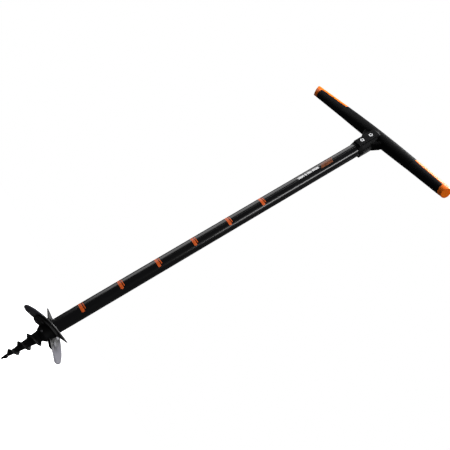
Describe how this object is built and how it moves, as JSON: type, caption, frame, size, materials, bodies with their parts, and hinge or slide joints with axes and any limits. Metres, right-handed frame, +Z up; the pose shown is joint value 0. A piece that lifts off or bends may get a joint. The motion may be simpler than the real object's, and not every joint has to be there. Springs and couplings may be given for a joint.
{
  "type": "post hole digger",
  "caption": "Hand auger with a threaded screw point, crossed cutting blades on a cast carrier, a steel tube shaft with depth marks and a T-handle with soft grips.",
  "frame": {"origin": "the very tip of the screw point, below the middle of the handle", "axes": "+Z up the shaft towards the handle, X along the handle, -Y the front with the depth marks"},
  "size_m": [0.51, 0.098, 1.0982],
  "materials": {
    "carrier_casting": "black painted casting",
    "blade_steel": "hardened steel, brushed",
    "black_fastener": "black oxide",
    "bright_fastener": "zinc plated",
    "shaft_paint": "black powder coat, semi-gloss",
    "mark_orange": "printed film",
    "label_white": "printed film",
    "handle_plastic": "glass-filled nylon, fine grain",
    "grip_rubber": "soft over-moulding, matt",
    "trim_orange": "satin moulded plastic"
  },
  "bodies": {
    "root": {"screw_tip": "carrier_casting", "blade_carrier": "carrier_casting", "cutting_blade_a": "blade_steel", "cutting_blade_b": "blade_steel", "blade_bolts": "bright_fastener", "blade_nuts": "black_fastener", "hub_cross_pin": "bright_fastener", "shaft_tube": "shaft_paint", "depth_mark_1": "mark_orange", "depth_mark_2": "mark_orange", "depth_mark_3": "mark_orange", "depth_mark_4": "mark_orange", "depth_mark_5": "mark_orange", "depth_mark_6": "mark_orange", "label_white_bar": "label_white", "label_orange_patch": "mark_orange", "handle_body": "handle_plastic", "handle_bolts": "bright_fastener", "handle_nuts": "bright_fastener", "left_grip": "grip_rubber", "left_top_inlay": "trim_orange", "left_end_cap": "trim_orange", "right_grip": "grip_rubber", "right_top_inlay": "trim_orange", "right_end_cap": "trim_orange"}
  },
  "joints": []
}
